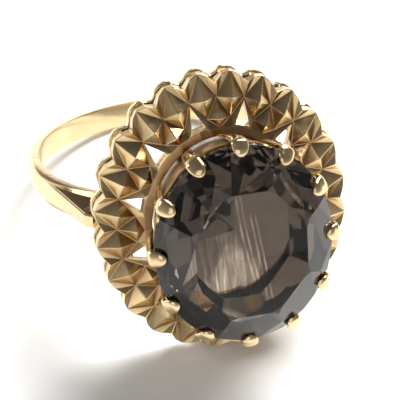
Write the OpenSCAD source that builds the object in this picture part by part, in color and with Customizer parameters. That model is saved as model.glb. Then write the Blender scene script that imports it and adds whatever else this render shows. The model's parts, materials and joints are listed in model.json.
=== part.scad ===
// Cocktail ring: an oval faceted stone in a twelve-claw collet, standing inside a
// scalloped border of small pyramids that is pierced with triangular openings.
//
// The pieces are drawn in the ring's own axes: X across the finger, Y along the finger,
// Z out through the stone, with the origin at the centre of the finger hole.
// The finished ring is then laid down as it rests on a table, on two lobes of the rear
// rim and on the edge of the shank behind the finger, with the same origin.

/* [Finger hole and shank] */
// Diameter of the finger hole
finger_d = 17.5; // [14:0.25:22]
// Width of the shank along the finger, behind the finger
shank_w = 1.55; // [1.2:0.05:3]
// Thickness of the shank behind the finger
shank_t = 0.6; // [0.5:0.05:1.4]
// How much thicker the shank is at the two sides than behind the finger
shank_gain = 0.12; // [0:0.05:0.5]
// Half of the angle that the shank covers, measured from behind the finger
shank_half_angle = 146; // [138:1:152]

/* [Shoulders] */
// Half the width of each shoulder where it meets the rear rim
shoulder_half_w = 1.25; // [1.2:0.05:3]
// Width of the shoulder's outer face where it meets the rear rim
shoulder_face_w = 0.8; // [0.5:0.1:1.4]
// How far the shoulder stands out past the head's edge
shoulder_out = 0.25; // [0.15:0.05:0.6]

/* [Border] */
// Width of the head across the finger, over the mean of the lobe tips
head_w = 14.8; // [12:0.1:18]
// Length of the head along the finger, over the mean of the lobe tips
head_l = 16.9; // [13:0.1:21]
// Width of the border from the outline to its inner edge
border_w = 3.07; // [2.4:0.05:4]
// How far the border climbs from the outline to its inner edge
border_rise = 0.95; // [0.2:0.05:1.6]
// Height of each pyramid above the border
pyramid_h = 0.55; // [0.2:0.05:0.8]
// Thickness of the border plate
plate_t = 0.45; // [0.3:0.05:0.9]
// Depth of the scallops in the outline, as a share of the border's width
scallop = 0.15; // [0.05:0.01:0.2]

/* [Rear rim] */
// Thickness of the rear rim
rim_t = 0.45; // [0.3:0.05:0.9]
// Open height between the rear rim and the border
gallery_h = 0.42; // [0.2:0.02:1.2]
// Width of the rear rim
rim_w = 1.9; // [1.2:0.05:2.6]

/* [Stone] */
// Length of the stone along the finger
stone_l = 11.7; // [8:0.1:14]
// Width of the stone across the finger
stone_w = 10.2; // [7:0.1:12]
// Depth of the stone below its girdle
pavilion_h = 4.3; // [2.5:0.1:4.6]
// Height of the stone above its girdle
crown_h = 1.7; // [0.8:0.1:3]
// Size of the flat table as a share of the stone's outline
table_share = 0.62; // [0.4:0.01:0.8]

/* [Collet and claws] */
// Height of the stone's girdle above the border's inner edge
collet_h = 3.8; // [2.6:0.1:6]
// Width of each claw
claw_w = 0.95; // [0.5:0.05:1.2]
// Thickness of each claw
claw_t = 0.38; // [0.3:0.02:0.8]
// How far each claw reaches over the stone
claw_reach = 0.6; // [0.4:0.05:1.1]
// Height of the collet's foot
rail_h = 0.6; // [0.4:0.05:1]

/* [Hidden] */
$fn = 96;
pieces_round = 12;
sector = 360 / pieces_round;

// finger hole and shank
bore_r = finger_d / 2;
shank_outer_r = bore_r + shank_t + shank_gain;
edge_round = min(shank_t, shank_w / 2) * 0.6;
shank_end_z = -bore_r * cos(shank_half_angle);
shank_end_x = bore_r * sin(shank_half_angle);

// heights above the finger's axis
finger_gap = 0.12;
rim_z = bore_r + finger_gap;
rim_top_z = rim_z + rim_t;
plate_z = rim_top_z + gallery_h;
border_z = plate_z + plate_t;
border_in_z = border_z + border_rise;
girdle_z = border_in_z + collet_h;

// outline and inner edge of the border
out_x = head_w / 2;
out_y = head_l / 2;
in_x = out_x - border_w;
in_y = in_x + (stone_l - stone_w) / 2;

// rows of the pyramid pattern, as shares of the way in from the outline
tip_f = -0.03;
notch_f = tip_f + scallop;
mid_f = tip_f + scallop * 0.3;
apex_f = 0.38;
valley_f = 0.71;
rail_f = 0.86;
hole_out_f = 0.43;
hole_in_f = 0.82;
hole_half_a = 5;
lobe_a = sector / 4;
rim_bulge_h = pyramid_h * 0.7;
rail_rise = pyramid_h * 0.35;

// stone
stone_rx = stone_w / 2;
stone_ry = stone_l / 2;
girdle_t = 0.25;
stone_gap = 0.02;
culet_z = girdle_z - pavilion_h;
stone_top_z = girdle_z + girdle_t + crown_h;

// collet: a flared wall between the border and the stone
collet_gap = 0.1;
wall_t = 0.36;
collet_low_rx = in_x - collet_gap;
collet_top_rx = stone_rx + stone_gap;
collet_lean = (collet_top_rx - collet_low_rx) / (girdle_z - border_in_z);
pavilion_lean = collet_lean + 0.55;
wall_top_z = girdle_z - (wall_t + stone_gap * 3) / (pavilion_lean - collet_lean);
foot_top_z = rim_z + rail_h;

// bars that hold the collet inside the rear rim
bar_w = 1.1;
bar_t = min(rim_t, rail_h) * 0.9;

// angle of the ring as it lies on the table
edge_y = shank_w / 2 - edge_round;
edge_z = bore_r + shank_t - edge_round;
rest_y = head_half_low() - edge_y;
rest_z = rim_z + edge_z;
tilt = atan2(rest_y, rest_z) - asin(edge_round / norm([rest_y, rest_z]));

// Lays the ring down on the table, about the centre of the finger hole.
module lie() {
    rotate([90 - tilt, 0, 0]) children();
}

// Lowest reach of the two lobes that the ring lies on, from the finger's axis.
function head_half_low() = -edge_point(270 + lobe_a, tip_f)[1];

// Point in plan on the border: f is 0 at the outline and 1 at the inner edge.
function edge_point(a, f) = [
    (out_x + (in_x - out_x) * f) * cos(a),
    (out_y + (in_y - out_y) * f) * sin(a)
];

// Point on top of the border, h above its sloping face.
function top_point(a, f, h) = concat(edge_point(a, f), border_z + border_rise * f + h);

// The same point on the underside of the border.
function low_point(a, f) = concat(edge_point(a, f), plate_z + border_rise * f);

// Pattern of one sector of the border: angle, share of the way in, height.
sector_rows = [
    [0, notch_f, rim_bulge_h], [0, apex_f, 0], [0, valley_f, pyramid_h],
    [0, rail_f, rail_rise], [0, 1, rail_rise],
    [lobe_a * 0.5, mid_f, rim_bulge_h * 0.35],
    [lobe_a, tip_f, 0], [lobe_a, apex_f, pyramid_h], [lobe_a, valley_f, 0],
    [lobe_a, rail_f, rail_rise], [lobe_a, 1, rail_rise],
    [lobe_a * 1.5, mid_f, rim_bulge_h * 0.35],
    [lobe_a * 2, notch_f, rim_bulge_h], [lobe_a * 2, apex_f, 0],
    [lobe_a * 2, hole_out_f, rail_rise * 0.5],
    [lobe_a * 2 - hole_half_a, hole_in_f, rail_rise],
    [lobe_a * 2 + hole_half_a, hole_in_f, rail_rise],
    [lobe_a * 2, rail_f, rail_rise], [lobe_a * 2, 1, rail_rise],
    [lobe_a * 2.5, mid_f, rim_bulge_h * 0.35],
    [lobe_a * 3, tip_f, 0], [lobe_a * 3, apex_f, pyramid_h], [lobe_a * 3, valley_f, 0],
    [lobe_a * 3, rail_f, rail_rise], [lobe_a * 3, 1, rail_rise],
    [lobe_a * 3.5, mid_f, rim_bulge_h * 0.35]
];
row_n = len(sector_rows);
all_n = row_n * pieces_round;

// Faces of one sector; numbers from row_n upward belong to the next sector.
sector_top = [
    [0, 5, 1], [5, 6, 1], [6, 7, 1], [1, 7, 8], [1, 8, 2],
    [2, 8, 3], [8, 9, 3], [3, 9, 10], [3, 10, 4],
    [6, 11, 13], [11, 12, 13], [6, 13, 7], [7, 13, 8],
    [13, 15, 8], [13, 14, 15], [8, 15, 9], [9, 15, 17],
    [9, 17, 18], [9, 18, 10],
    [12, 19, 13], [19, 20, 13], [20, 21, 13], [13, 21, 22],
    [13, 22, 16], [13, 16, 14], [22, 23, 16], [23, 17, 16],
    [15, 16, 17], [23, 24, 18], [23, 18, 17],
    [20, 25, 27], [25, 26, 27], [20, 27, 21], [21, 27, 22],
    [22, 27, 28], [22, 28, 29], [22, 29, 23], [23, 29, 30], [23, 30, 24]
];
outline_run = [0, 5, 6, 11, 12, 19, 20, 25, 26];
inner_run = [4, 10, 18, 24, 30];
hole_run = [14, 16, 15, 14];

// Closed solid of the border plate with its pyramids and openings.
module border_solid() {
    tops = [
        for (s = [0:pieces_round - 1], p = sector_rows)
            top_point(s * sector + p[0], p[1], p[2])
    ];
    lows = [
        for (s = [0:pieces_round - 1], p = sector_rows)
            low_point(s * sector + p[0], p[1])
    ];
    top_faces = [
        for (s = [0:pieces_round - 1], t = sector_top)
            [for (i = [2, 1, 0]) (s * row_n + t[i]) % all_n]
    ];
    low_faces = [for (t = top_faces) [all_n + t[2], all_n + t[1], all_n + t[0]]];
    walls = [
        for (s = [0:pieces_round - 1]) each concat(
            wall_faces(s, outline_run, false),
            wall_faces(s, inner_run, true),
            wall_faces(s, hole_run, true)
        )
    ];
    polyhedron(concat(tops, lows), concat(top_faces, low_faces, walls));
}

// Upright faces between the top and the underside, along a run of points.
function wall_faces(s, run, flip) = [
    for (i = [0:len(run) - 2])
        let (a = (s * row_n + run[i]) % all_n, b = (s * row_n + run[i + 1]) % all_n)
            each flip
                ? [[a, all_n + b, b], [a, all_n + a, all_n + b]]
                : [[a, b, all_n + b], [a, all_n + b, all_n + a]]
];

// Scalloped outline of the head, seen from above.
module outline_shape() {
    polygon([
        for (s = [0:pieces_round - 1], i = [0:7])
            let (f = i % 4 == 0 ? notch_f : i % 4 == 2 ? tip_f : mid_f)
                edge_point(s * sector + i * lobe_a / 2, f)
    ]);
}

// Oval shape, seen from above.
module oval_shape(rx, ry, step = 3.75) {
    polygon([for (a = [0:step:360 - step]) [rx * cos(a), ry * sin(a)]]);
}

module rear_rim() {
    color("goldenrod") lie()
        translate([0, 0, rim_z]) linear_extrude(rim_t)
            difference() {
                outline_shape();
                oval_shape(out_x - rim_w, out_y - rim_w);
            }
}

// Posts that carry the border on the rear rim: one under each lobe, cut to the outline,
// so that the gallery is open at each notch. They stop at the lowest edge of the plate.
post_f = 0.08;
post_r = 0.6;
module gallery_posts() {
    color("darkgoldenrod") lie()
        translate([0, 0, rim_top_z])
            linear_extrude(gallery_h + border_rise * tip_f)
                intersection() {
                    outline_shape();
                    for (s = [0:pieces_round - 1], k = [1, 3])
                        translate(edge_point(s * sector + k * lobe_a, post_f))
                            circle(post_r, $fn = 24);
                }
}

module pyramid_border() {
    color("gold") lie() border_solid();
}

// Band with rounded outer edges, open where the head sits.
module shank() {
    color("gold") lie() rotate([90, 0, 0])
        difference() {
            translate([0, shank_gain, 0])
                rotate_extrude()
                    shank_section();
            cylinder(h = shank_w * 2, r = bore_r, center = true);
            linear_extrude(shank_w * 2, center = true)
                polygon([
                    [0, 0], [-shank_end_x * 3, shank_end_z * 3], [shank_end_x * 3, shank_end_z * 3]
                ]);
        }
}

// Half of the shank's section, from the ring's axis out.
module shank_section() {
    half = shank_w / 2;
    far = shank_outer_r;
    union() {
        translate([bore_r / 2, -half]) square([far - edge_round - bore_r / 2, shank_w]);
        translate([bore_r / 2, -half + edge_round])
            square([far - bore_r / 2, shank_w - 2 * edge_round]);
        for (side = [-1, 1])
            translate([far - edge_round, side * (half - edge_round)]) circle(edge_round, $fn = 32);
    }
}

// The shoulder's outside leaves the shank almost at a tangent, reaches just past the
// head's edge, and is cut back to meet the underside of the rear rim.
shoulder_top_x = out_x + shoulder_out;
shoulder_bite = 0.03;
shoulder_rise = rim_z - shank_gain;
shoulder_lean = atan2(shoulder_rise, shoulder_top_x)
    - acos((shank_outer_r - shoulder_bite) / norm([shoulder_top_x, shoulder_rise]));
shoulder_low_x = (shank_outer_r - shoulder_bite) * cos(shoulder_lean);
shoulder_low_z = shank_gain + (shank_outer_r - shoulder_bite) * sin(shoulder_lean);
shoulder_in_x = shank_end_x + 0.8;
shoulder_round = shoulder_out + 0.1;
flare_steps = 8;
flare_power = 1.8;

// Sloping side of the shoulder: a plane through the outer face's edge at both ends and
// the widest line beside the finger, as turn, distance, height and slope.
side_flat = 0.3;
face_edge_low = shank_w / 2 - 0.05;
slant_in = shoulder_top_x - shoulder_in_x - side_flat;
slant_out = shoulder_half_w - shoulder_face_w / 2;
slant_drop = (
    slant_out * (shoulder_low_x - shoulder_top_x)
    + slant_in * (face_edge_low - shoulder_face_w / 2)
) / (rim_z - shoulder_low_z);
side_plane = [
    atan2(slant_in, slant_out),
    (slant_out * shoulder_top_x + slant_in * shoulder_face_w / 2) / norm([slant_in, slant_out]),
    rim_z,
    atan2(norm([slant_in, slant_out]), slant_drop)
];

module shoulder(side) {
    lie() difference() {
        intersection() {
            rotate([90, 0, 0])
                linear_extrude(shoulder_half_w * 2, center = true)
                    polygon([
                        [side * shoulder_in_x, shoulder_low_z],
                        [side * shoulder_low_x, shoulder_low_z],
                        [
                            side * (shoulder_top_x + shoulder_round * tan(shoulder_lean)),
                            rim_z - shoulder_round
                        ],
                        [side * (shoulder_top_x - shoulder_round), rim_z],
                        [side * shoulder_in_x, rim_z]
                    ]);
            rotate([90, 0, 90])
                linear_extrude(out_x * 3, center = true)
                    polygon(concat(flare(1), flare(-1)));
        }
        rotate([90, 0, 0]) translate([0, shank_gain, 0])
            cylinder(h = shoulder_half_w * 3, r = shank_outer_r, center = true);
        for (turn = [side_plane[0], -side_plane[0]])
            cutter([side > 0 ? turn : 180 - turn, side_plane[1], side_plane[2], side_plane[3]], 1);
    }
}

// One edge of the shoulder's flare, seen from outside.
function flare(side) = [
    for (i = [0:flare_steps])
        let (k = (side > 0 ? i : flare_steps - i) / flare_steps)
            [
                side * (shank_w / 2 + (shoulder_half_w - shank_w / 2) * pow(k, flare_power)),
                shoulder_low_z + (rim_z - shoulder_low_z) * k
            ]
];

module shoulder_left() {
    color("gold") shoulder(-1);
}

module shoulder_right() {
    color("gold") shoulder(1);
}

// Point beside the collet's oval: d is the distance out from an oval of the
// stone's proportions whose half-width is rx.
function oval_point(a, rx, d) =
    let (ry = rx + stone_ry - stone_rx, n = norm([ry * cos(a), rx * sin(a)]))
        [rx * cos(a) + d * ry * cos(a) / n, ry * sin(a) + d * rx * sin(a) / n];

// Closed oval ring: section is a list of [distance out, height] points.
oval_n = 72;
module oval_ring(rx, section) {
    m = len(section);
    points = [
        for (i = [0:oval_n - 1], s = section)
            concat(oval_point(i * 360 / oval_n, rx, s[0]), s[1])
    ];
    faces = [
        for (i = [0:oval_n - 1], j = [0:m - 1])
            let (
                a = i * m + j,
                b = i * m + (j + 1) % m,
                c = ((i + 1) % oval_n) * m + j,
                d = ((i + 1) % oval_n) * m + (j + 1) % m
            )
                each [[a, c, d], [a, d, b]]
    ];
    polyhedron(points, faces);
}

// Half-width of the collet's outside at a height.
function collet_rx(z) = collet_low_rx + collet_lean * (z - border_in_z);

foot_w = 0.75;
module collet_foot() {
    color("darkgoldenrod") lie()
        oval_ring(
            collet_rx(foot_top_z),
            [[-foot_w, rim_z], [0, rim_z], [0, foot_top_z], [-foot_w, foot_top_z]]
        );
}

module collet_wall() {
    flare_d = collet_lean * (wall_top_z - foot_top_z);
    color("goldenrod") lie()
        oval_ring(
            collet_rx(foot_top_z),
            [
                [-wall_t, foot_top_z], [0, foot_top_z],
                [flare_d, wall_top_z], [flare_d - wall_t, wall_top_z]
            ]
        );
}

// Four bars from the collet's foot to the rear rim, clear of the pierced openings.
bar_stations = [2, 4, 8, 10];
module collet_bars() {
    color("darkgoldenrod") lie()
        translate([0, 0, rim_z])
            linear_extrude(bar_t)
                difference() {
                    for (k = bar_stations)
                        rotate(k * sector) translate([0, -bar_w / 2])
                            square([out_y, bar_w]);
                    bar_limits();
                }
}

// What the bars are cut back to: the collet's foot inside and the rear rim outside.
module bar_limits() {
    polygon([
        for (i = [0:oval_n - 1])
            oval_point(i * 360 / oval_n, collet_rx(foot_top_z), 0)
    ]);
    difference() {
        square(out_y * 4, center = true);
        oval_shape(out_x - rim_w, out_y - rim_w);
    }
}

// Claw stations in the plane through the claw: distance out from the girdle's oval,
// height, lean of the thickness from level, half-width and half-thickness. The claw
// grows out of the wall, leans out to the girdle and folds over the stone's crown.
half_w = claw_w / 2;
half_t = claw_t / 2;
girdle_top_z = girdle_z + girdle_t;
claw_start_z = border_in_z + (girdle_z - border_in_z) * 0.14;
claw_full_z = border_in_z + (girdle_z - border_in_z) * 0.4;
claw_fold = 46;
function wall_station(z, w, t) = [collet_rx(z) - stone_rx + t, z, 0, w, t];
function tip_station(a, d, w, t) = [
    t * sin(90 - claw_fold) - d,
    crown_over(a, d) + stone_gap + t * cos(90 - claw_fold),
    claw_fold, w, t
];
function claw_path(a) = [
    wall_station(claw_start_z, half_w * 0.7, half_t * 0.2),
    wall_station(claw_full_z, half_w * 0.8, half_t * 0.85),
    wall_station(girdle_z - claw_t, half_w * 0.9, half_t),
    [stone_gap + half_t, girdle_z, 0, half_w * 0.95, half_t],
    [stone_gap + half_t, girdle_top_z, 8, half_w, half_t],
    [stone_gap + half_t * 0.85, girdle_top_z + half_t * 0.9, 24, half_w, half_t],
    tip_station(a, claw_reach * 0.25, half_w, half_t * 0.95),
    tip_station(a, claw_reach * 0.6, half_w * 0.98, half_t * 0.85),
    tip_station(a, claw_reach * 0.85, half_w * 0.8, half_t * 0.65),
    tip_station(a, claw_reach, half_w * 0.4, half_t * 0.35)
];

// Height of the crown under a claw, at a distance in from the girdle.
function crown_over(a, d) = max([
    for (side = [-half_w * 0.8, 0, half_w * 0.8])
        let (
            p = oval_point(a, stone_rx, -d),
            out = oval_point(a, stone_rx, 1) - oval_point(a, stone_rx, 0)
        )
            crown_at(p + side * [-out[1], out[0]])
]);

// Height of the stone's crown above a point in plan.
function crown_at(p) = min([
    for (c = crown_cuts)
        c[2] + (c[1] - p * [cos(c[0]), sin(c[0])]) * tan(c[3])
]);

// Rounded bar swept through the stations.
claw_sides = 16;
module claw(k) {
    a = (k - 1) * sector;
    path = claw_path(a);
    base = oval_point(a, stone_rx, 0);
    dir = oval_point(a, stone_rx, 1) - base;
    side = [-dir[1], dir[0]];
    points = [
        for (p = path, i = [0:claw_sides - 1])
            let (
                u = sgn_pow(cos(i * 360 / claw_sides)) * p[3],
                v = sgn_pow(sin(i * 360 / claw_sides)) * p[4]
            )
                concat(base + dir * (p[0] + v * cos(p[2])) + side * u, p[1] + v * sin(p[2]))
    ];
    n = len(path);
    faces = concat(
        [[for (i = [claw_sides - 1:-1:0]) i]],
        [[for (i = [0:claw_sides - 1]) (n - 1) * claw_sides + i]],
        [
            for (j = [0:n - 2], i = [0:claw_sides - 1])
                let (
                    q = j * claw_sides + i,
                    r = j * claw_sides + (i + 1) % claw_sides
                )
                    each [[q, r, r + claw_sides], [q, r + claw_sides, q + claw_sides]]
        ]
    );
    lie() polyhedron(points, faces);
}

// Squares a round section off a little.
function sgn_pow(c) = sign(c) * pow(abs(c), 0.85);

module claw_01() { color("gold") claw(1); }
module claw_02() { color("gold") claw(2); }
module claw_03() { color("gold") claw(3); }
module claw_04() { color("gold") claw(4); }
module claw_05() { color("gold") claw(5); }
module claw_06() { color("gold") claw(6); }
module claw_07() { color("gold") claw(7); }
module claw_08() { color("gold") claw(8); }
module claw_09() { color("gold") claw(9); }
module claw_10() { color("gold") claw(10); }
module claw_11() { color("gold") claw(11); }
module claw_12() { color("gold") claw(12); }

// Stone: every facet is a flat cut, given as its turn about the stone, its distance
// from the centre at a height, that height, and its slope from level.
function cut_turn(a) = atan2(sin(a) / stone_ry, cos(a) / stone_rx);
function cut_reach(a) = 1 / norm([cos(a) / stone_rx, sin(a) / stone_ry]);
function main_slope(a) = atan(crown_h / (cut_reach(a) * (1 - table_share)));
crown_mains = 8;
main_a = 360 / crown_mains;
break_extra = 8;
star_share = 1.04;
crown_cuts = concat(
    [
        for (k = [0:crown_mains - 1])
            let (a = k * main_a)
                [cut_turn(a), cut_reach(a), girdle_top_z, main_slope(a)]
    ],
    [
        for (k = [0:2 * crown_mains - 1])
            let (a = (k + 0.5) * main_a / 2)
                [cut_turn(a), cut_reach(a), girdle_top_z, main_slope(a) + break_extra]
    ],
    [
        for (k = [0:crown_mains - 1])
            let (a = (k + 0.5) * main_a)
                [
                    cut_turn(a), cut_reach(a) * table_share * star_share, stone_top_z,
                    main_slope(a) * 0.6
                ]
    ]
);
break_depth = pavilion_h * 0.62;
pavilion_cuts = concat(
    [
        for (k = [0:2 * crown_mains - 1])
            let (a = (k + 0.5) * main_a / 2)
                [cut_turn(a), cut_reach(a), girdle_z, atan(1 / pavilion_lean)]
    ],
    [
        for (k = [0:crown_mains - 1])
            let (a = (k + 0.5) * main_a, in_d = cut_reach(a) - break_depth * pavilion_lean)
                [
                    cut_turn(a), in_d, girdle_z - break_depth,
                    atan((pavilion_h - break_depth) / in_d)
                ]
    ]
);
waste = stone_l * 3;

module stone() {
    color("saddlebrown") lie()
        cut_in_turn(pavilion_cuts, len(pavilion_cuts), -1)
            cut_in_turn(crown_cuts, len(crown_cuts), 1)
                translate([0, 0, culet_z])
                    linear_extrude(stone_top_z - culet_z)
                        oval_shape(stone_rx, stone_ry, 10);
}

// Takes the first n cuts off, one after another; side is 1 above the girdle, -1 below.
module cut_in_turn(cuts, n, side) {
    if (n == 0)
        children();
    else
        difference() {
            cut_in_turn(cuts, n - 1, side) children();
            cutter(cuts[n - 1], side);
        }
}

// Block that takes away everything beyond one flat face.
module cutter(c, side) {
    rotate(c[0]) translate([c[1], 0, c[2]]) rotate([0, side * c[3], 0])
        translate([-waste / 2, -waste / 2, side > 0 ? 0 : -waste]) cube(waste);
}

shank();
shoulder_left();
shoulder_right();
rear_rim();
gallery_posts();
pyramid_border();
collet_bars();
collet_foot();
collet_wall();
claw_01();
claw_02();
claw_03();
claw_04();
claw_05();
claw_06();
claw_07();
claw_08();
claw_09();
claw_10();
claw_11();
claw_12();
stone();
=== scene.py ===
import json
import math

import bmesh
import bpy
from mathutils import Matrix, Vector, noise

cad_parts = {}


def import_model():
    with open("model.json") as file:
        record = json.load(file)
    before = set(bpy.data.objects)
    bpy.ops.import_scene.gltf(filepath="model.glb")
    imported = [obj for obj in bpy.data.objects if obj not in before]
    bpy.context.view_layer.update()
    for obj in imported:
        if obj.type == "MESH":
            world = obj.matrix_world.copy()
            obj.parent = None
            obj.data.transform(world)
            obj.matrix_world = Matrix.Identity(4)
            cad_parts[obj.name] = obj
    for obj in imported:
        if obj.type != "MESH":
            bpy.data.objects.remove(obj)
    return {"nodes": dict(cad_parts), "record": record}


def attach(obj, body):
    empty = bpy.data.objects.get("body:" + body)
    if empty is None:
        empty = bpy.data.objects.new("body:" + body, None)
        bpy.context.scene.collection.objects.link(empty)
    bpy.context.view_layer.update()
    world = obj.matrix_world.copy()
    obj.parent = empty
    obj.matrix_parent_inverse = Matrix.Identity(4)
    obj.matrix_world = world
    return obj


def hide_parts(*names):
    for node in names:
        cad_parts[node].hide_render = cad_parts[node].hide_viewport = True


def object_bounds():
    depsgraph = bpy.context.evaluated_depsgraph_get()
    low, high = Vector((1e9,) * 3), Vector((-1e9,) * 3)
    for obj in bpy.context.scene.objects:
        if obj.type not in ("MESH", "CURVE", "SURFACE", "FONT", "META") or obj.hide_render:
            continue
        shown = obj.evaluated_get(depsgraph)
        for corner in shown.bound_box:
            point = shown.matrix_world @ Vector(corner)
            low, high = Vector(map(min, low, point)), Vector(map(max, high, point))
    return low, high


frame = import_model()
cad_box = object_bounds()
record = frame["record"]
MM = 0.001
CLAWS = ["claw_%02d" % k for k in range(1, 13)]

# ---------------------------------------------------------------- the ring's own axes
# X across the finger, Y along the finger, Z out through the stone, in millimetres from
# the centre of the finger hole. The record's mount gives the finger's direction.
bore = next(m for m in record["mounts"] if m["name"] == "finger_bore")
finger = Vector(bore["axis"]).normalized()
head = Vector((1, 0, 0)).cross(finger)
LIE = Matrix((
    (1, finger.x, head.x),
    (0, finger.y, head.y),
    (0, finger.z, head.z),
))
ORIGIN = Vector(bore["pos_m"])


def world(p):
    return ORIGIN + LIE @ Vector(p) * MM


# ---------------------------------------------------------------- sizes, as in the CAD
# Lengths are in millimetres and angles in degrees. A name that ends in _f is a share of
# the way from the border's outer edge (0) to its inner edge (1).
bore_r = bore["dims"]["r_mm"]
shank_w = bore["dims"]["length_mm"]
shank_t = 0.6
shank_gain = 0.12
shank_half_angle = 146
finger_gap = 0.12
shoulder_half_w = 1.25
shoulder_out = 0.25
head_w = 14.8
head_l = 16.9
border_w = 3.07
border_rise = 0.95
pyramid_h = 0.55
plate_t = 0.45
scallop = 0.15
rim_t = 0.45
gallery_h = 0.42
rim_w = 1.9
stone_l = 11.7
stone_w = 10.2
pavilion_h = 4.3
crown_h = 1.7
table_share = 0.62
collet_h = 3.8
claw_w = 0.95
claw_t = 0.38
claw_reach = 0.6
rail_h = 0.6
rail_f = 0.86
hole_out_f = 0.43
hole_in_f = 0.82
hole_half_a = 5.0
valley_f = 0.71
apex_f = 0.38
post_r = 0.6

sector = 30.0
lobe_a = sector / 4
shank_outer_r = bore_r + shank_t + shank_gain
rim_z = bore_r + finger_gap
rim_top_z = rim_z + rim_t
plate_z = rim_top_z + gallery_h
border_z = plate_z + plate_t
border_in_z = border_z + border_rise
girdle_z = border_in_z + collet_h
girdle_t = 0.25
girdle_top_z = girdle_z + girdle_t
out_x = head_w / 2
out_y = head_l / 2
in_x = out_x - border_w
in_y = in_x + (stone_l - stone_w) / 2
stone_rx = stone_w / 2
stone_ry = stone_l / 2
culet_z = girdle_z - pavilion_h
stone_top_z = girdle_top_z + crown_h
collet_gap = 0.1
wall_t = 0.36
stone_gap = 0.02
collet_low_rx = in_x - collet_gap
collet_lean = (stone_rx + stone_gap - collet_low_rx) / (girdle_z - border_in_z)
pavilion_lean = collet_lean + 0.55
tip_f = -0.03
notch_f = tip_f + scallop
mid_f = tip_f + scallop * 0.3


def cosd(a):
    return math.cos(math.radians(a))


def sind(a):
    return math.sin(math.radians(a))


# ---------------------------------------------------------------- materials
# noise scales are per metre, because the model is in metres
BLOTCH_SCALE = 420.0
SPECK_SCALE = 2600.0
SCRATCH_SCALE = (900.0, 5200.0, 1600.0)
SCRATCH_TURN = (0.3, 0.5, 0.7)
BUMP_DEPTH_M = 0.00005
# colour of the painted shade in creases and recesses, as a share of the darker gold
SHADE_TINT = (0.36, 0.26, 0.22)


def gold(name, light, dark, rough, bump):
    """Worn gold: uneven colour, painted shade in the creases, fine scratches."""
    material = bpy.data.materials.new(name)
    material.use_nodes = True
    nodes = material.node_tree.nodes
    links = material.node_tree.links
    shader = nodes["Principled BSDF"]
    shader.inputs["Metallic"].default_value = 1.0
    where = nodes.new("ShaderNodeTexCoord")
    broad = nodes.new("ShaderNodeTexNoise")
    broad.inputs["Scale"].default_value = BLOTCH_SCALE
    broad.inputs["Detail"].default_value = 5.0
    links.new(where.outputs["Object"], broad.inputs["Vector"])
    mix = nodes.new("ShaderNodeValToRGB")
    mix.color_ramp.elements[0].position = 0.32
    mix.color_ramp.elements[0].color = (*dark, 1)
    mix.color_ramp.elements[1].position = 0.68
    mix.color_ramp.elements[1].color = (*light, 1)
    links.new(broad.outputs["Fac"], mix.inputs["Fac"])
    # painted shade: darker in the creases and recesses, none on the raised edges
    painted_shade = nodes.new("ShaderNodeAttribute")
    painted_shade.attribute_name = "painted_shade"
    shade_mix = nodes.new("ShaderNodeMix")
    shade_mix.data_type = "RGBA"
    shade_mix.inputs["B"].default_value = (*(c * t for c, t in zip(dark, SHADE_TINT)), 1)
    links.new(painted_shade.outputs["Fac"], shade_mix.inputs["Factor"])
    links.new(mix.outputs["Color"], shade_mix.inputs["A"])
    links.new(shade_mix.outputs["Result"], shader.inputs["Base Color"])
    fine = nodes.new("ShaderNodeTexNoise")
    fine.inputs["Scale"].default_value = SPECK_SCALE
    fine.inputs["Detail"].default_value = 6.0
    fine.inputs["Roughness"].default_value = 0.65
    links.new(where.outputs["Object"], fine.inputs["Vector"])
    spread = nodes.new("ShaderNodeMapRange")
    spread.inputs["From Min"].default_value = 0.3
    spread.inputs["From Max"].default_value = 0.75
    spread.inputs["To Min"].default_value = rough * 0.7
    spread.inputs["To Max"].default_value = rough * 1.5
    links.new(fine.outputs["Fac"], spread.inputs["Value"])
    links.new(spread.outputs["Result"], shader.inputs["Roughness"])
    scratch = nodes.new("ShaderNodeMapping")
    scratch.inputs["Scale"].default_value = SCRATCH_SCALE
    scratch.inputs["Rotation"].default_value = SCRATCH_TURN
    lines = nodes.new("ShaderNodeTexNoise")
    lines.inputs["Scale"].default_value = 1.0
    lines.inputs["Detail"].default_value = 3.0
    links.new(where.outputs["Object"], scratch.inputs["Vector"])
    links.new(scratch.outputs["Vector"], lines.inputs["Vector"])
    both = nodes.new("ShaderNodeMath")
    both.operation = "ADD"
    links.new(lines.outputs["Fac"], both.inputs[0])
    links.new(broad.outputs["Fac"], both.inputs[1])
    bumps = nodes.new("ShaderNodeBump")
    bumps.inputs["Strength"].default_value = bump
    bumps.inputs["Distance"].default_value = BUMP_DEPTH_M
    links.new(both.outputs[0], bumps.inputs["Height"])
    links.new(bumps.outputs["Normal"], shader.inputs["Normal"])
    return material


GOLD = gold("gold_polished", (0.86, 0.69, 0.41), (0.74, 0.56, 0.31), 0.15, 0.1)
GOLD_CAST = gold("gold_cast_border", (0.90, 0.71, 0.40), (0.70, 0.51, 0.27), 0.17, 0.1)
# a darker copy of the gold for the parts down under the border and round the stone's foot: painted
# shade; the rougher finish is its own
GOLD_IN_SHADE = gold("gold_inner_in_shade", (0.60, 0.41, 0.20), (0.42, 0.27, 0.12), 0.32, 0.25)


# the veil and the threads in the stone, in millimetres from the ring's middle
VEIL_MIDDLE = (-1.05, -1.6)
VEIL_HALF = (1.7, 2.5)
THREADS_AT = (0.35, 0.62)
THREAD_SLANT = 0.15
THREAD_HALF_W = 0.075
THREAD_MIDDLE = -0.5
THREAD_HALF_L = 3.1


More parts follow.
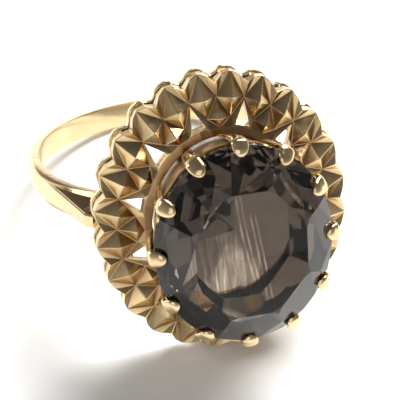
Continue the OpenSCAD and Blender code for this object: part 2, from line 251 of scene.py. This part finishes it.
def smoky_quartz():
    """Smoky stone with a pale feathered veil low down on one side of the table."""
    material = bpy.data.materials.new("smoky_quartz")
    material.use_nodes = True
    nodes = material.node_tree.nodes
    links = material.node_tree.links
    shader = nodes["Principled BSDF"]
    shader.inputs["Roughness"].default_value = 0.015
    shader.inputs["IOR"].default_value = 1.55
    shader.inputs["Transmission Weight"].default_value = 1.0
    where = nodes.new("ShaderNodeTexCoord")

    def along(axis, offset, scale):
        dot = nodes.new("ShaderNodeVectorMath")
        dot.operation = "DOT_PRODUCT"
        dot.inputs[1].default_value = axis
        links.new(where.outputs["Object"], dot.inputs[0])
        out = nodes.new("ShaderNodeMath")
        out.operation = "MULTIPLY_ADD"
        out.inputs[1].default_value = scale
        out.inputs[2].default_value = offset
        links.new(dot.outputs["Value"], out.inputs[0])
        return out.outputs[0]

    def maths(kind, first, second=0.0):
        out = nodes.new("ShaderNodeMath")
        out.operation = kind
        for i, v in enumerate((first, second)):
            if isinstance(v, (int, float)):
                out.inputs[i].default_value = v
            else:
                links.new(v, out.inputs[i])
        return out.outputs[0]

    def noise_of(vector, scale, detail):
        t = nodes.new("ShaderNodeTexNoise")
        t.inputs["Scale"].default_value = scale
        t.inputs["Detail"].default_value = detail
        links.new(vector, t.inputs["Vector"])
        return t.outputs["Fac"]

    def remap(value, low, high):
        t = nodes.new("ShaderNodeMapRange")
        t.interpolation_type = "SMOOTHSTEP"
        t.inputs["From Min"].default_value = low
        t.inputs["From Max"].default_value = high
        links.new(value, t.inputs["Value"])
        return t.outputs["Result"]

    base = Vector(ORIGIN)
    across = along((1, 0, 0), -base.x * 1000, 1000)
    along_y = along(tuple(finger), -base.dot(finger) * 1000, 1000)
    fibres = nodes.new("ShaderNodeCombineXYZ")
    links.new(maths("MULTIPLY", across, 4.2), fibres.inputs["X"])
    links.new(maths("MULTIPLY", along_y, 0.45), fibres.inputs["Y"])
    streak = remap(noise_of(fibres.outputs["Vector"], 1.0, 5.0), 0.42, 0.66)
    ragged = noise_of(where.outputs["Object"], 900.0, 4.0)
    dx = maths("DIVIDE", maths("ADD", across, -VEIL_MIDDLE[0]), VEIL_HALF[0])
    dy = maths("DIVIDE", maths("ADD", along_y, -VEIL_MIDDLE[1]), VEIL_HALF[1])
    far = maths("ADD", maths("MULTIPLY", dx, dx), maths("MULTIPLY", dy, dy))
    patch = remap(maths("SUBTRACT", 1.5, maths("ADD", far, ragged)), 0.0, 0.75)
    body = maths("MULTIPLY", patch, maths("ADD", maths("MULTIPLY", streak, 0.62), 0.16))
    # two fine straight threads that run the length of the table
    threads = 0.0
    for offset in THREADS_AT:
        off = maths("ADD", across, maths("MULTIPLY", along_y, THREAD_SLANT))
        gap = maths("ABSOLUTE", maths("SUBTRACT", off, offset))
        thin = remap(maths("SUBTRACT", THREAD_HALF_W, gap), 0.0, 0.05)
        threads = maths("MAXIMUM", thin, threads)
    from_middle = maths("ABSOLUTE", maths("ADD", along_y, -THREAD_MIDDLE))
    inside = remap(maths("SUBTRACT", THREAD_HALF_L, from_middle), 0.0, 0.8)
    threads = maths("MULTIPLY", maths("MULTIPLY", threads, inside), maths("ADD", streak, 0.25))
    veil = maths("MAXIMUM", body, maths("MULTIPLY", threads, 0.8))
    cloud = noise_of(where.outputs["Object"], 260.0, 4.0)
    ramp = nodes.new("ShaderNodeValToRGB")
    ramp.color_ramp.elements[0].position = 0.3
    ramp.color_ramp.elements[0].color = (0.034, 0.027, 0.024, 1)
    ramp.color_ramp.elements[1].position = 0.7
    ramp.color_ramp.elements[1].color = (0.100, 0.074, 0.055, 1)
    links.new(cloud, ramp.inputs["Fac"])
    mix = nodes.new("ShaderNodeMix")
    mix.data_type = "RGBA"
    mix.inputs["B"].default_value = (0.62, 0.52, 0.42, 1)
    links.new(veil, mix.inputs["Factor"])
    links.new(ramp.outputs["Color"], mix.inputs["A"])
    links.new(mix.outputs["Result"], shader.inputs["Base Color"])
    return material


QUARTZ = smoky_quartz()


# ---------------------------------------------------------------- mesh helpers
def new_piece(name, verts, faces, material, nodes, smooth=False, shade_values=None):
    mesh = bpy.data.meshes.new(name)
    mesh.from_pydata([world(v) for v in verts], [], faces)
    bm = bmesh.new()
    bm.from_mesh(mesh)
    bmesh.ops.recalc_face_normals(bm, faces=bm.faces)
    bm.to_mesh(mesh)
    bm.free()
    for p in mesh.polygons:
        p.use_smooth = smooth
    # each point's painted shade, which darkens the gold's colour
    layer = mesh.attributes.new("painted_shade", "FLOAT", "POINT")
    if shade_values:
        for i, c in enumerate(shade_values):
            layer.data[i].value = c
    mesh.materials.append(material)
    ob = bpy.data.objects.new(name, mesh)
    bpy.context.scene.collection.objects.link(ob)
    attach(ob, "root")
    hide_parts(*nodes)
    return ob


def bevel(ob, width_mm, angle=14, segments=2):
    mod = ob.modifiers.new("edges", "BEVEL")
    mod.width = width_mm * MM
    mod.segments = segments
    mod.limit_method = "ANGLE"
    mod.angle_limit = math.radians(angle)
    mod.harden_normals = False
    mod.use_clamp_overlap = True


def oval_point(a, rx, d):
    ry = rx + stone_ry - stone_rx
    n = math.hypot(ry * cosd(a), rx * sind(a))
    return (rx * cosd(a) + d * ry * cosd(a) / n, ry * sind(a) + d * rx * sind(a) / n)


def oval_ring(rx_section, count=144):
    """Closed ring whose section is a list of (half-width, distance out, height)."""
    m = len(rx_section)
    verts, faces = [], []
    for i in range(count):
        a = i * 360 / count
        for rx, d, z in rx_section:
            x, y = oval_point(a, rx, d)
            verts.append((x, y, z))
    for i in range(count):
        for j in range(m):
            a, b = i * m + j, i * m + (j + 1) % m
            c, d = ((i + 1) % count) * m + j, ((i + 1) % count) * m + (j + 1) % m
            faces.append((a, c, d, b))
    return verts, faces


# ---------------------------------------------------------------- pyramid border
def edge_point(a, f):
    return ((out_x + (in_x - out_x) * f) * cosd(a), (out_y + (in_y - out_y) * f) * sind(a))


bulge = pyramid_h * 0.7
rise = pyramid_h * 0.35
A = lobe_a
# One sector's points: angle, share of the way in, height above the plate.
ROWS = [
    (0, notch_f, bulge), (0, apex_f, 0), (0, valley_f, pyramid_h), (0, rail_f, rise), (0, 1, rise),
    (A * 0.5, mid_f, bulge * 0.35),
    (A, tip_f, 0), (A, apex_f, pyramid_h), (A, valley_f, 0), (A, rail_f, rise), (A, 1, rise),
    (A * 1.5, mid_f, bulge * 0.35),
    (A * 2, notch_f, bulge), (A * 2, apex_f, 0), (A * 2, hole_out_f, rise * 0.5),
    (A * 2 - hole_half_a, hole_in_f, rise), (A * 2 + hole_half_a, hole_in_f, rise),
    (A * 2, rail_f, rise), (A * 2, 1, rise),
    (A * 2.5, mid_f, bulge * 0.35),
    (A * 3, tip_f, 0), (A * 3, apex_f, pyramid_h), (A * 3, valley_f, 0), (A * 3, rail_f, rise),
    (A * 3, 1, rise),
    (A * 3.5, mid_f, bulge * 0.35),
]
# The faces between those points; numbers from 26 up are in the next sector.
TOP = [
    (0, 5, 1), (5, 6, 1), (6, 7, 1), (1, 7, 8), (1, 8, 2),
    (2, 8, 3), (8, 9, 3), (3, 9, 10, 4),
    (6, 11, 13), (11, 12, 13), (6, 13, 7), (7, 13, 8),
    (13, 15, 8), (13, 14, 15), (8, 15, 9), (9, 15, 17), (9, 17, 18, 10),
    (12, 19, 13), (19, 20, 13), (20, 21, 13), (13, 21, 22),
    (13, 22, 16), (13, 16, 14), (22, 23, 16), (23, 17, 16),
    (15, 16, 17), (23, 24, 18, 17),
    (20, 25, 27), (25, 26, 27), (20, 27, 21), (21, 27, 22),
    (22, 27, 28), (22, 28, 29), (22, 29, 23), (23, 29, 30, 24),
]
OUTLINE = [0, 5, 6, 11, 12, 19, 20, 25, 26]
INNER = [4, 10, 18, 24, 30]
HOLE = [14, 16, 15, 14]
PIERCED = {14, 15, 16}
VALLEY = {1, 8, 13, 22}
# any fixed seed would do; unseeded, the noise follows the clock and differs each run
HAND_SEED = 1795052941
HAND_MM = 0.035
HAND_FROM_F = 0.2
HAND_TO_F = 0.75
LOBE_SHRINK = 0.9992
# painted shade on the underside of the border's plate
PLATE_SHADE = 0.6


def shade_at(i, f, h):
    """Painted shade at one point of the border, from 0 (none, on the raised tips) to 1 (deepest).
    """
    if f == 1:
        return 1.0
    if i in VALLEY:
        return 0.75
    if f == rail_f:
        return 0.85
    if h == 0:
        return 0.3
    if i in PIERCED:
        return 0.15
    return 0.0


def border_points():
    """The border's upper points, the plate's lower points, the upper points' painted shade."""
    noise.seed_set(HAND_SEED)
    tops, lows, point_shade = [], [], []
    for s in range(12):
        for i, (a, f, h) in enumerate(ROWS):
            x, y = edge_point(s * sector + a, f)
            # hand finishing leaves no two pyramids quite alike
            wob = noise.noise_vector(Vector((x * 1.7, y * 1.7, i * 0.37))) * HAND_MM
            if f == tip_f:
                x, y = x * LOBE_SHRINK, y * LOBE_SHRINK
            lows.append((x, y, plate_z + border_rise * f))
            z = border_z + border_rise * f + h
            if h > 0 and HAND_FROM_F < f < HAND_TO_F:
                x, y, z = x + wob.x, y + wob.y, z - abs(wob.z)
            tops.append((x, y, z))
            point_shade.append(shade_at(i, f, h))
    return tops, lows, point_shade


def border():
    n = len(ROWS)
    total = n * 12
    tops, lows, point_shade = border_points()
    faces = []
    for s in range(12):
        for t in TOP:
            faces.append(tuple((s * n + i) % total for i in t))
            faces.append(tuple(total + (s * n + i) % total for i in reversed(t)))
        for run in (OUTLINE, INNER, HOLE):
            for p, q in zip(run, run[1:]):
                a, b = (s * n + p) % total, (s * n + q) % total
                faces.append((a, b, total + b, total + a))
    ob = new_piece("border", tops + lows, faces, GOLD_CAST, ["pyramid_border"],
                   shade_values=point_shade + [PLATE_SHADE] * total)
    bevel(ob, 0.05, 12, 2)


border()


# ---------------------------------------------------------------- rear rim and posts
RIM_INSET_F = 0.006
RIM_BACK_MM = 0.01
POST_F = 0.08
POST_END_R = 0.585
POST_MID_R = 0.53
POST_WAIST_R = 0.5
POST_SIDES = 28


def outline_points(inset):
    pts = []
    for s in range(12):
        for i in range(16):
            # rounder lobes than the CAD's, inside its outline
            w = 0.5 + 0.5 * math.cos(math.radians(i * 45 - 180))
            f = notch_f + (tip_f - notch_f) * math.sin(math.pi / 2 * w) ** 0.8
            pts.append(edge_point(s * sector + i * lobe_a / 4, f + inset))
    return pts


def rear_rim():
    """A flat scalloped plate with an oval opening."""
    in_rx = out_x - rim_w + RIM_BACK_MM
    in_ry = out_y - rim_w + RIM_BACK_MM
    outer = outline_points(RIM_INSET_F)
    n = len(outer)
    inner = []
    for i in range(n):
        a = i * 360 / n
        inner.append((in_rx * cosd(a), in_ry * sind(a)))
    verts = [(x, y, rim_z) for x, y in outer] + [(x, y, rim_top_z) for x, y in outer]
    verts += [(x, y, rim_z) for x, y in inner] + [(x, y, rim_top_z) for x, y in inner]
    faces = []
    for i in range(n):
        j = (i + 1) % n
        faces.append((i, j, n + j, n + i))
        faces.append((2 * n + i, 3 * n + i, 3 * n + j, 2 * n + j))
        faces.append((n + i, n + j, 3 * n + j, 3 * n + i))
        faces.append((i, 2 * n + i, 2 * n + j, j))
    ob = new_piece("back_rim", verts, faces, GOLD, ["rear_rim"])
    bevel(ob, 0.08, 30, 3)


rear_rim()


def post_point(cx, cy, r, a):
    """A point of a post's round section, held inside the lobed outline."""
    x = cx + r * cosd(a)
    y = cy + r * sind(a)
    edge_a = math.degrees(math.atan2(y / out_y, x / out_x))
    ex, ey = edge_point(edge_a, mid_f + (post_r - r) * 0.4 + 0.02)
    if math.hypot(x, y) > math.hypot(ex, ey):
        return ex, ey
    return x, y


def posts():
    """A stub under each lobe, cut to the outline, with a rounded waist."""
    verts, faces = [], []
    top = plate_z + border_rise * tip_f
    rings = [(POST_END_R, rim_top_z), (POST_MID_R, rim_top_z + 0.06),
             (POST_WAIST_R, rim_top_z + 0.12), (POST_WAIST_R, top - 0.12),
             (POST_MID_R, top - 0.06), (POST_END_R, top - 0.002)]
    for s in range(12):
        for k in (1, 3):
            cx, cy = edge_point(s * sector + k * lobe_a, POST_F)
            first = len(verts)
            for r, z in rings:
                for i in range(POST_SIDES):
                    x, y = post_point(cx, cy, r, i * 360 / POST_SIDES)
                    verts.append((x, y, z))
            for j in range(len(rings) - 1):
                low = first + j * POST_SIDES
                for i in range(POST_SIDES):
                    a, b = low + i, low + (i + 1) % POST_SIDES
                    faces.append((a, b, b + POST_SIDES, a + POST_SIDES))
            last = first + (len(rings) - 1) * POST_SIDES
            faces.append(tuple(first + i for i in range(POST_SIDES)))
            faces.append(tuple(last + i for i in range(POST_SIDES)))
    new_piece("posts", verts, faces, GOLD_IN_SHADE, ["gallery_posts"], smooth=True)


posts()


# ---------------------------------------------------------------- collet
def collet_rx(z):
    return collet_low_rx + collet_lean * (z - border_in_z)


foot_top_z = rim_z + rail_h
wall_top_z = girdle_z - (wall_t + stone_gap * 3) / (pavilion_lean - collet_lean)
FOOT_W = 0.75
WAIST_MM = 0.04
LIP_SHARE = 0.85
WALL_STEPS = 10


def collet_foot():
    foot_rx = collet_rx(foot_top_z)
    section = [(foot_rx, -FOOT_W, rim_z), (foot_rx, 0, rim_z), (foot_rx, 0, foot_top_z),
               (foot_rx, -FOOT_W, foot_top_z)]
    v, f = oval_ring(section)
    ob = new_piece("collet_lower_ring", v, f, GOLD_IN_SHADE, ["collet_foot"])
    bevel(ob, 0.1, 30, 3)


def wall_shade(z):
    """Painted shade: darker deep in the gap, lighter near the stone."""
    return max(0.0, min(1.0, 1.3 - 1.5 * (z - border_z) / (wall_top_z - border_z)))


def collet_wall():
    low, high = collet_rx(foot_top_z), collet_rx(wall_top_z)
    outer, inner = [], []
    for i in range(WALL_STEPS + 1):
        k = i / WALL_STEPS
        z = foot_top_z + (wall_top_z - foot_top_z) * k
        # a waist in the flare, and a lip under the stone
        waist = WAIST_MM * math.sin(math.pi * k) if k < LIP_SHARE else 0.0
        outer.append((low + (high - low) * k - waist, 0, z))
        inner.append((low + (high - low) * k, -wall_t, z))
    v, f = oval_ring(outer + inner[::-1])
    ob = new_piece("collet_cup", v, f, GOLD_IN_SHADE, ["collet_wall"],
                   shade_values=[wall_shade(p[2]) for p in v])
    bevel(ob, 0.07, 30, 2)


collet_foot()
collet_wall()

# the CAD's own bars stay, in the darker gold with painted shade and with softer edges
bars = frame["nodes"]["collet_bars"]
bars.data.materials.clear()
bars.data.materials.append(GOLD_IN_SHADE)
bevel(bars, 0.08, 30, 2)


# ---------------------------------------------------------------- stone
GIRDLE_EXTRA_SLOPE = 8
STAR_REACH = 1.04
STAR_SLOPE = 0.6
BREAK_SHARE = 0.62
STONE_SIDES = 96
STONE_SHRINK = 0.999


def cut_turn(a):
    return math.degrees(math.atan2(sind(a) / stone_ry, cosd(a) / stone_rx))


def cut_reach(a):
    return 1 / math.hypot(cosd(a) / stone_rx, sind(a) / stone_ry)


def main_slope(a):
    return math.degrees(math.atan(crown_h / (cut_reach(a) * (1 - table_share))))


# each cut: turn, distance out, height and slope of its plane
CROWN = [(cut_turn(k * 45), cut_reach(k * 45), girdle_top_z, main_slope(k * 45))
         for k in range(8)]
CROWN += [(cut_turn((k + 0.5) * 22.5), cut_reach((k + 0.5) * 22.5), girdle_top_z,
           main_slope((k + 0.5) * 22.5) + GIRDLE_EXTRA_SLOPE) for k in range(16)]
CROWN += [(cut_turn((k + 0.5) * 45), cut_reach((k + 0.5) * 45) * table_share * STAR_REACH,
           stone_top_z, main_slope((k + 0.5) * 45) * STAR_SLOPE) for k in range(8)]
break_depth = pavilion_h * BREAK_SHARE
PAVILION = [(cut_turn((k + 0.5) * 22.5), cut_reach((k + 0.5) * 22.5), girdle_z,
             math.degrees(math.atan(1 / pavilion_lean))) for k in range(16)]
for k in range(8):
    a = (k + 0.5) * 45
    in_d = cut_reach(a) - break_depth * pavilion_lean
    PAVILION.append((cut_turn(a), in_d, girdle_z - break_depth,
                     math.degrees(math.atan((pavilion_h - break_depth) / in_d))))


def stone():
    """An oval prism cut by the crown's and the pavilion's planes."""
    bm = bmesh.new()
    ring = []
    for i in range(STONE_SIDES):
        a = i * 360 / STONE_SIDES
        ring.append((stone_rx * cosd(a) * STONE_SHRINK, stone_ry * sind(a) * STONE_SHRINK))
    low = [bm.verts.new((x, y, culet_z)) for x, y in ring]
    top = [bm.verts.new((x, y, stone_top_z)) for x, y in ring]
    bm.faces.new(low[::-1])
    bm.faces.new(top)
    for i in range(STONE_SIDES):
        j = (i + 1) % STONE_SIDES
        bm.faces.new((low[i], low[j], top[j], top[i]))
    for cuts, side in ((CROWN, 1), (PAVILION, -1)):
        for turn, d, z, slope in cuts:
            co = Vector((d * cosd(turn), d * sind(turn), z))
            no = Vector((sind(slope) * cosd(turn), sind(slope) * sind(turn), side * cosd(slope)))
            geom = bm.verts[:] + bm.edges[:] + bm.faces[:]
            res = bmesh.ops.bisect_plane(bm, geom=geom, dist=1e-5, plane_co=co, plane_no=no,
                                         clear_outer=True)
            rim = [e for e in res["geom_cut"]
                   if isinstance(e, bmesh.types.BMEdge) and e.is_boundary]
            if len(rim) > 2:
                bmesh.ops.contextual_create(bm, geom=rim)
    bmesh.ops.remove_doubles(bm, verts=bm.verts, dist=0.004)
    bmesh.ops.dissolve_limit(bm, angle_limit=0.002, verts=bm.verts, edges=bm.edges)
    mesh_v = [tuple(v.co) for v in bm.verts]
    bm.verts.index_update()
    mesh_f = [tuple(v.index for v in f.verts) for f in bm.faces]
    bm.free()
    ob = new_piece("faceted_stone", mesh_v, mesh_f, QUARTZ, ["stone"])
    bevel(ob, 0.025, 4, 1)


stone()


# ---------------------------------------------------------------- claws
half_w = claw_w / 2
half_t = claw_t / 2
FOLD = 46
SHORT_CLAW = 0.78
CLAW_SIDES = 28


def crown_at(x, y):
    return min(z + (d - (x * cosd(t) + y * sind(t))) * math.tan(math.radians(s))
               for t, d, z, s in CROWN)


def crown_over(a, d):
    x, y = oval_point(a, stone_rx, -d)
    x0, y0 = oval_point(a, stone_rx, 0)
    x1, y1 = oval_point(a, stone_rx, 1)
    ox, oy = x1 - x0, y1 - y0
    return max(crown_at(x - oy * s, y + ox * s) for s in (-half_w * 0.8, 0, half_w * 0.8))


def wall_station(z, w, t):
    return (collet_rx(z) - stone_rx + t, z, 0, w, t)


def tip_station(a, d, w, t):
    return (t * sind(90 - FOLD) - d, crown_over(a, d) + stone_gap + t * cosd(90 - FOLD),
            FOLD, w, t)


def claw_path(a):
    """Stations up the wall and over the stone: distance out, height, lean, half sizes."""
    tall = girdle_z - border_in_z
    # the lower and right-hand claws look shorter in the photo
    reach = claw_reach * (SHORT_CLAW if sind(a) < 0.2 and a != 180 else 1.0)
    return [
        wall_station(border_in_z + tall * 0.14, half_w * 0.7, half_t * 0.2),
        wall_station(border_in_z + tall * 0.4, half_w * 0.8, half_t * 0.85),
        wall_station(girdle_z - claw_t, half_w * 0.9, half_t),
        (stone_gap + half_t, girdle_z, 0, half_w * 0.95, half_t),
        (stone_gap + half_t, girdle_top_z, 8, half_w, half_t),
        (stone_gap + half_t * 0.85, girdle_top_z + half_t * 0.9, 24, half_w, half_t),
        tip_station(a, reach * 0.25, half_w, half_t),
        tip_station(a, reach * 0.55, half_w * 0.9, half_t * 0.95),
        tip_station(a, reach * 0.8, half_w * 0.66, half_t * 0.72),
        tip_station(a, reach * 0.95, half_w * 0.34, half_t * 0.4),
        tip_station(a, reach, half_w * 0.1, half_t * 0.12),
    ]


def spline(stations, per):
    """A smooth curve through the stations, with this many steps between two of them."""
    out = []
    n = len(stations)
    for i in range(n - 1):
        p0, p1 = stations[max(i - 1, 0)], stations[i]
        p2, p3 = stations[i + 1], stations[min(i + 2, n - 1)]
        for s in range(per):
            t = s / per
            out.append(tuple(
                0.5 * (2 * b + (c - a) * t + (2 * a - 5 * b + 4 * c - d) * t * t
                       + (3 * b - a - 3 * c + d) * t ** 3)
                for a, b, c, d in zip(p0, p1, p2, p3)))
    out.append(stations[-1])
    return out


def claw(k):
    a = (k - 1) * sector
    path = spline(claw_path(a), 4)
    bx, by = oval_point(a, stone_rx, 0)
    ox, oy = oval_point(a, stone_rx, 1)
    ox, oy = ox - bx, oy - by
    verts, faces = [], []
    for d, z, lean, w, t in path:
        for i in range(CLAW_SIDES):
            c, s = cosd(i * 360 / CLAW_SIDES), sind(i * 360 / CLAW_SIDES)
            u = math.copysign(abs(c) ** 0.95, c) * w * 0.99
            v = math.copysign(abs(s) ** 0.95, s) * t * 0.99
            e = d + v * cosd(lean)
            verts.append((bx + ox * e - oy * u, by + oy * e + ox * u, z + v * sind(lean)))
    for j in range(len(path) - 1):
        for i in range(CLAW_SIDES):
            p, q = j * CLAW_SIDES + i, j * CLAW_SIDES + (i + 1) % CLAW_SIDES
            faces.append((p, q, q + CLAW_SIDES, p + CLAW_SIDES))
    last = (len(path) - 1) * CLAW_SIDES
    faces.append(tuple(range(CLAW_SIDES)))
    faces.append(tuple(last + i for i in range(CLAW_SIDES)))
    new_piece("prong_%02d" % k, verts, faces, GOLD, [CLAWS[k - 1]], smooth=True)


for k in range(1, 13):
    claw(k)


# ---------------------------------------------------------------- shank
BAND_STEPS = 150
BAND_INSET = 0.004
BAND_EASE = 0.03
BAND_CROWN = 0.002
BAND_CORNER_STEPS = 6


def band_section(reach):
    """The band's section as (distance from the middle, place along the finger)."""
    half = shank_w / 2
    r = min(shank_t, half) * 0.6
    section = [(bore_r + BAND_EASE, -half + BAND_INSET), (bore_r + BAND_CROWN, -half * 0.8),
               (bore_r, 0), (bore_r + BAND_CROWN, half * 0.8),
               (bore_r + BAND_EASE, half - BAND_INSET)]
    for q in range(BAND_CORNER_STEPS + 1):
        t = q * 15
        section.append((reach - r + r * sind(t), half - r + r * cosd(t)))
    section.append((reach, 0))
    for q in range(BAND_CORNER_STEPS, -1, -1):
        t = q * 15
        section.append((reach - r + r * sind(t), -half + r - r * cosd(t)))
    return section


def shank():
    verts, faces = [], []
    for s in range(BAND_STEPS + 1):
        a = -shank_half_angle + 2 * shank_half_angle * s / BAND_STEPS
        # outer circle is set toward the head, so the band thickens at its sides
        ux, uz = sind(a), -cosd(a)
        b = shank_gain * uz
        reach = b + math.sqrt(max(shank_outer_r ** 2 - shank_gain ** 2 + b * b, 0)) - BAND_INSET
        for d, y in band_section(reach):
            verts.append((d * ux, y, d * uz))
    m = len(verts) // (BAND_STEPS + 1)
    for s in range(BAND_STEPS):
        for i in range(m):
            a, b = s * m + i, s * m + (i + 1) % m
            faces.append((a, b, b + m, a + m))
    faces.append(tuple(range(m)))
    faces.append(tuple(BAND_STEPS * m + i for i in range(m)))
    ob = new_piece("band", verts, faces, GOLD, ["shank"], smooth=True)
    mod = ob.modifiers.new("edges", "EDGE_SPLIT")
    mod.split_angle = math.radians(50)


shank()


# ---------------------------------------------------------------- shoulders
shoulder_top_x = out_x + shoulder_out
shoulder_round = shoulder_out + 0.1
shoulder_rise = rim_z - shank_gain
bite_r = shank_outer_r - 0.03
shoulder_lean = math.degrees(
    math.atan2(shoulder_rise, shoulder_top_x)
    - math.acos(bite_r / math.hypot(shoulder_top_x, shoulder_rise)))
shoulder_low_x = bite_r * cosd(shoulder_lean)
shoulder_low_z = shank_gain + bite_r * sind(shoulder_lean)
shank_end_x = bore_r * sind(shank_half_angle)


SHOULDER_START = 0.35
SHOULDER_STEPS = 28
SHOULDER_INSET = 0.004
FLARE_POWER = 1.8
TURN_IN_SLOPE = 1.05
CORNER_MM = 0.1


def shoulder(side, name, node):
    """A wedge whose sloping sides carry painted shade, leaving a narrow bright outer face."""
    verts, faces, side_shade = [], [], []
    heights = [shoulder_low_z + SHOULDER_START
               + (rim_z - shoulder_low_z - SHOULDER_START) * i / SHOULDER_STEPS
               for i in range(SHOULDER_STEPS + 1)]
    for z in heights:
        k = (z - shoulder_low_z) / (rim_z - shoulder_low_z)
        flare = (shoulder_half_w - shank_w / 2) * k ** FLARE_POWER
        half = shank_w / 2 + flare - SHOULDER_INSET
        ridge = shank_w / 2 - 0.1 - 0.32 * k
        x_out = shoulder_low_x + (shoulder_top_x - shoulder_low_x) * k
        # the upper end turns in under the head
        x_out = min(x_out, shoulder_top_x - shoulder_round + (rim_z - z) * TURN_IN_SLOPE)
        x_in = max(math.sqrt(shank_outer_r ** 2 - (z - shank_gain) ** 2) + 0.002,
                   shank_end_x + 0.8)
        x_in = min(x_in, x_out - 0.01)
        deep = x_out - x_in
        r = min(CORNER_MM, deep * 0.3)
        # each point: distance out, place along the finger, painted shade
        ring = [(x_in, half, 0.8), (x_in + deep * 0.12, half, 0.9),
                (x_in + deep * 0.3, half - (half - ridge) * 0.45, 1.0),
                (x_out - r * 1.3, ridge + r * 0.5, 0.9)]
        ring += [(x_out - r + r * sind(q * 22.5), ridge - r + r * cosd(q * 22.5), 0.1)
                 for q in range(5)]
        ring += [(x, -y, c) for x, y, c in ring[::-1]]
        m = len(ring)
        for x, y, c in ring:
            verts.append((side * x, y, z))
            # painted shade on the sloping sides, deeper towards the top, under the head
            side_shade.append(c * (0.45 + 0.55 * k))
    for j in range(len(heights) - 1):
        for i in range(m):
            a, b = j * m + i, j * m + (i + 1) % m
            faces.append((a, b, b + m, a + m))
    faces.append(tuple(range(m)))
    faces.append(tuple((len(heights) - 1) * m + i for i in range(m)))
    new_piece(name, verts, faces, GOLD, [node], shade_values=side_shade)


shoulder(-1, "left_shoulder", "shoulder_left")
shoulder(1, "right_shoulder", "shoulder_right")


# ---------------------------------------------------------------- floor, light, camera
def add_floor():
    """A large white floor that the ring lies on."""
    bm = bmesh.new()
    bmesh.ops.create_grid(bm, x_segments=1, y_segments=1, size=0.6)
    mesh = bpy.data.meshes.new("floor")
    bm.to_mesh(mesh)
    bm.free()
    floor = bpy.data.objects.new("floor", mesh)
    floor.location = (0, 0, cad_box[0][2])
    bpy.context.scene.collection.objects.link(floor)
    white = bpy.data.materials.new("floor_white")
    white.use_nodes = True
    shader = white.node_tree.nodes["Principled BSDF"]
    shader.inputs["Base Color"].default_value = (0.93, 0.935, 0.93, 1)
    shader.inputs["Roughness"].default_value = 0.7
    mesh.materials.append(white)


add_floor()


def area(name, toward, distance, size, power, color):
    """A soft light whose direction is given from the middle of the ring."""
    data = bpy.data.lights.new(name, "AREA")
    data.energy = power
    data.color = color
    data.size = size
    ob = bpy.data.objects.new(name, data)
    d = Vector(toward).normalized()
    ob.location = d * distance
    ob.rotation_euler = d.to_track_quat("Z", "Y").to_euler()
    bpy.context.scene.collection.objects.link(ob)


# distance and size in metres, power in watts
area("key", toward=(0.60, 0.64, 0.95), distance=0.36, size=0.22, power=2.75,
     color=(1.0, 0.985, 0.96))
area("fill", toward=(-0.35, -0.9, 0.55), distance=0.45, size=0.32, power=0.28,
     color=(1.0, 0.99, 0.98))
area("side", toward=(-0.95, 0.3, 0.4), distance=0.34, size=0.12, power=0.30,
     color=(0.93, 0.96, 1.0))


def add_room():
    """A dim room, a little lighter low down and on the viewer's side."""
    room = bpy.data.worlds.new("room")
    bpy.context.scene.world = room
    room.use_nodes = True
    nodes = room.node_tree.nodes
    links = room.node_tree.links
    where = nodes.new("ShaderNodeTexCoord")
    split = nodes.new("ShaderNodeSeparateXYZ")
    links.new(where.outputs["Generated"], split.inputs["Vector"])
    ramp = nodes.new("ShaderNodeValToRGB")
    ramp.color_ramp.elements[0].position = 0.0
    ramp.color_ramp.elements[0].color = (0.46, 0.45, 0.43, 1)
    ramp.color_ramp.elements[1].position = 1.0
    ramp.color_ramp.elements[1].color = (0.13, 0.13, 0.14, 1)
    e = ramp.color_ramp.elements.new(0.3)
    e.color = (0.27, 0.26, 0.25, 1)
    e = ramp.color_ramp.elements.new(0.55)
    e.color = (0.20, 0.19, 0.18, 1)
    links.new(split.outputs["Z"], ramp.inputs["Fac"])
    toward = nodes.new("ShaderNodeVectorMath")
    toward.operation = "DOT_PRODUCT"
    toward.inputs[1].default_value = (-0.3, -0.95, 0.0)
    links.new(where.outputs["Generated"], toward.inputs[0])
    shade = nodes.new("ShaderNodeMapRange")
    shade.inputs["From Min"].default_value = -1.0
    shade.inputs["From Max"].default_value = 1.0
    shade.inputs["To Min"].default_value = 0.6
    shade.inputs["To Max"].default_value = 1.3
    links.new(toward.outputs["Value"], shade.inputs["Value"])
    links.new(ramp.outputs["Color"], nodes["Background"].inputs["Color"])
    links.new(shade.outputs["Result"], nodes["Background"].inputs["Strength"])


add_room()


# where the camera stands and how it is turned, in the ring's own axes
CAMERA_AT = (-24.5, 43.3, 113.1)
CAMERA_RIGHT = (0.968, -0.056, 0.245)
CAMERA_UP = (0.142, 0.926, -0.35)


def add_camera():
    """A long lens that looks down on the head, from the photo's side."""
    camera = bpy.data.cameras.new("camera")
    camera.lens = 178.5
    camera.sensor_width = 36.0
    camera.clip_start = 0.005
    camera.clip_end = 5.0
    camera.shift_x = -0.0135
    camera.shift_y = 0.00375
    cam = bpy.data.objects.new("camera", camera)
    bpy.context.scene.collection.objects.link(cam)
    right = LIE @ Vector(CAMERA_RIGHT)
    up = LIE @ Vector(CAMERA_UP)
    back = right.cross(up).normalized()
    right = up.cross(back).normalized()
    up = back.cross(right).normalized()
    spin = Matrix((right, up, back)).transposed().to_4x4()
    spin.translation = world(CAMERA_AT)
    cam.matrix_world = spin
    bpy.context.scene.camera = cam


add_camera()

bpy.context.scene.view_settings.view_transform = "Standard"
bpy.context.scene.view_settings.look = "None"

bpy.context.view_layer.update()
